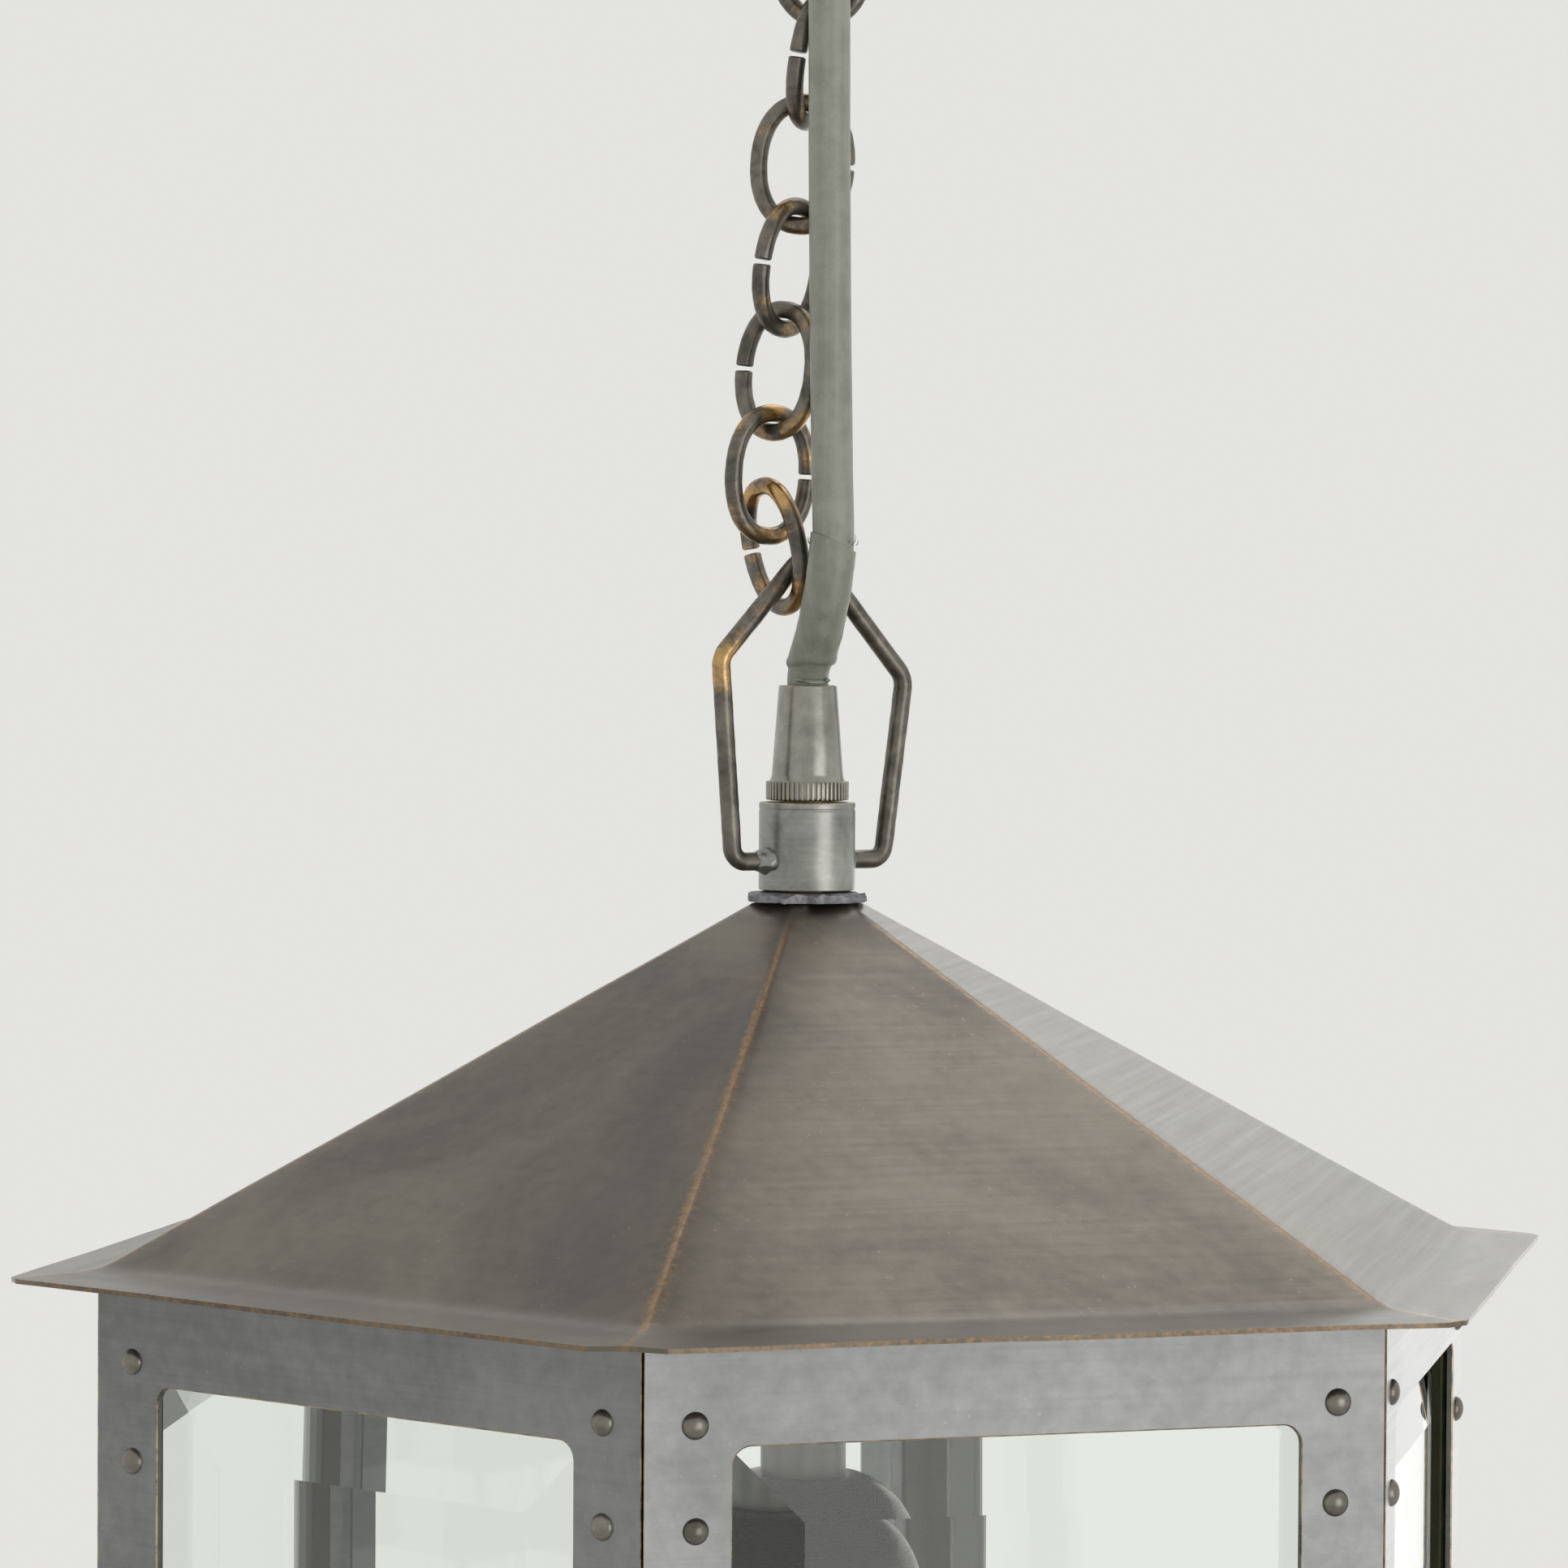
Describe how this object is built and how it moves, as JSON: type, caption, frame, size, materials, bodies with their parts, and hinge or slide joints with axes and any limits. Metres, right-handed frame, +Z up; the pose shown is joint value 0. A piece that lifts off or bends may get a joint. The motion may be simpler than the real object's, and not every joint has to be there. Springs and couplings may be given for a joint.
{
  "type": "hanging lantern",
  "caption": "Six-sided hanging lantern in aged brass with bevelled glass, a flared roof, a bail, a link chain and a flex on a ceiling hook.",
  "frame": {"origin": "centre of the ceiling face, on top of the mounting plate; the object hangs below it", "axes": "+Z up to the ceiling; -Y out of the front glazed face; +X to the right seen from the front"},
  "size_m": [0.312, 0.2702, 0.6447],
  "materials": {
    "aged_brass": "brushed, dark patina with worn edges",
    "roof_brass": "mottled brown patina, ridges rubbed to brass",
    "worn_brass": "dark patina rubbed through to brass",
    "grey_solder": "rough lead-grey",
    "steel": "zinc plated",
    "grey_flex": "satin grey PVC",
    "black_holder": "gloss black",
    "clear_glass": "clear, bevelled"
  },
  "bodies": {
    "root": {"mounting_plate": "steel", "ceiling_rose": "aged_brass", "ceiling_hook": "aged_brass", "hook_boss": "steel", "flex_gland": "aged_brass", "flex_upper": "grey_flex"},
    "top_link": {"chain_link_8": "worn_brass"},
    "chain": {"chain_link_2": "worn_brass", "chain_link_3": "worn_brass", "chain_link_4": "worn_brass", "chain_link_5": "worn_brass", "chain_link_6": "worn_brass", "chain_link_7": "worn_brass", "flex_main": "grey_flex"},
    "bottom_link": {"chain_link_1": "worn_brass"},
    "lantern": {"bail_loop": "worn_brass", "collar_tube": "aged_brass", "apex_washer": "grey_solder", "thread_tube": "worn_brass", "inner_lead": "grey_flex", "cord_sleeve": "grey_flex", "roof_shell": "roof_brass", "roof_nut": "worn_brass", "stem_tube": "aged_brass", "lampholder_cup": "aged_brass", "lampholder": "black_holder", "top_ring": "aged_brass", "base_plate": "aged_brass", "frame_leaf_upper": "worn_brass", "frame_leaf_lower": "worn_brass", "hinge_pin_upper": "worn_brass", "hinge_pin_lower": "worn_brass", "door_catch": "steel", "face_frame_1": "aged_brass", "face_frame_2": "aged_brass", "face_frame_3": "aged_brass", "face_frame_4": "aged_brass", "face_frame_5": "aged_brass", "corner_post_1": "aged_brass", "corner_post_2": "aged_brass", "corner_post_3": "aged_brass", "corner_post_4": "aged_brass", "corner_post_5": "aged_brass", "corner_post_6": "aged_brass", "glass_pane_1": "clear_glass", "glass_pane_2": "clear_glass", "glass_pane_3": "clear_glass", "glass_pane_4": "clear_glass", "glass_pane_5": "clear_glass"},
    "grip": {"cord_grip": "aged_brass"},
    "door": {"door_frame": "aged_brass", "door_glass": "clear_glass", "door_leaf_upper": "worn_brass", "door_leaf_lower": "worn_brass", "door_knob": "worn_brass"},
    "bulb": {"bulb_cap": "steel", "bulb_glass": "clear_glass"}
  },
  "joints": [
    {"name": "hook_swing", "type": "hinge", "parent": "root", "child": "top_link", "pos_m": [0, 0, -0.0751], "axis": [0.9483, -0.3173, 0], "range_deg": [-20, 20], "deforming": ["flex_upper"]},
    {"name": "chain_swing", "type": "hinge", "parent": "top_link", "child": "chain", "pos_m": [0, 0, -0.0943], "axis": [0.3173, 0.9483, 0], "range_deg": [-20, 20], "deforming": ["flex_main"]},
    {"name": "bottom_link_swing", "type": "hinge", "parent": "chain", "child": "bottom_link", "pos_m": [0, 0, -0.21357], "axis": [0.9681, 0.2504, 0], "range_deg": [-12, 12], "deforming": ["cord_sleeve"]},
    {"name": "lantern_rock", "type": "hinge", "parent": "bottom_link", "child": "lantern", "pos_m": [0, 0, -0.21777], "axis": [-0.2504, 0.9681, 0], "range_deg": [-5, 5]},
    {"name": "door_swing", "type": "hinge", "parent": "lantern", "child": "door", "pos_m": [-0.07075, 0.12254, -0.49787], "axis": [0, 0, 1], "range_deg": [0, 110]},
    {"name": "grip_turn", "type": "hinge", "parent": "lantern", "child": "grip", "pos_m": [0, 0, -0.26477], "axis": [0, 0, 1], "continuous": true},
    {"name": "bulb_turn", "type": "hinge", "parent": "lantern", "child": "bulb", "pos_m": [0, 0, -0.45097], "axis": [0, 0, 1], "continuous": true}
  ]
}
